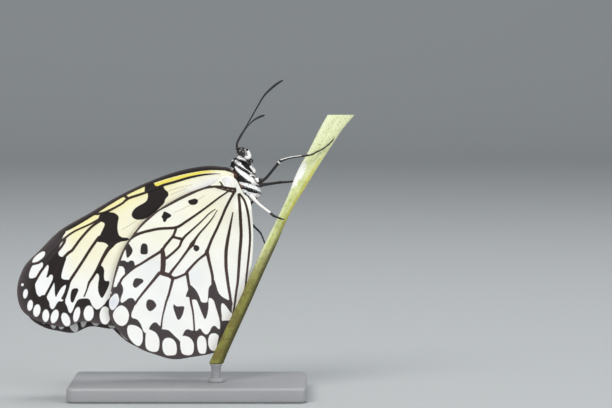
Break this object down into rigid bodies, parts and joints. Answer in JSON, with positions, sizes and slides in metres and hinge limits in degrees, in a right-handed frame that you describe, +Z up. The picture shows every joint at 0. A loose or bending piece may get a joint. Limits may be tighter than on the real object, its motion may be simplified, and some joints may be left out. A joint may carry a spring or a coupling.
{
  "type": "paper kite butterfly model on a stand",
  "caption": "Life-size paper kite butterfly with closed wings, gripping a cut length of green stem on a plain stand with a flat base.",
  "frame": {"origin": "centre of the underside of the stand's base, on the floor", "axes": "+Z up, towards the butterfly's head; -X towards the closed wing tips, +X to the belly's side; -Y to the butterfly's right side, which the picture shows"},
  "size_m": [0.0913, 0.0381, 0.0856],
  "materials": {
    "wings": "white to pale yellow wing scales with black spots, veins and margins",
    "body": "short black and white body hair",
    "eyes": "glossy dark brown",
    "limbs": "black scaled shell with white marks",
    "stem": "satin yellow-green plant stem",
    "stand": "satin grey paint"
  },
  "bodies": {
    "root": {"forewing_right": "wings", "forewing_left": "wings", "hindwing_right": "wings", "hindwing_left": "wings", "thorax": "body", "abdomen": "body", "head": "body", "palp_left": "body", "palp_right": "body", "eye_left": "eyes", "eye_right": "eyes", "proboscis": "limbs", "antenna_left": "limbs", "antenna_right": "limbs", "foreleg_left": "limbs", "foreleg_right": "limbs", "midleg_left": "limbs", "midleg_right": "limbs", "hindleg_left": "limbs", "hindleg_right": "limbs", "perch_stem": "stem", "stand_base": "stand", "stand_rod": "stand"}
  },
  "joints": []
}
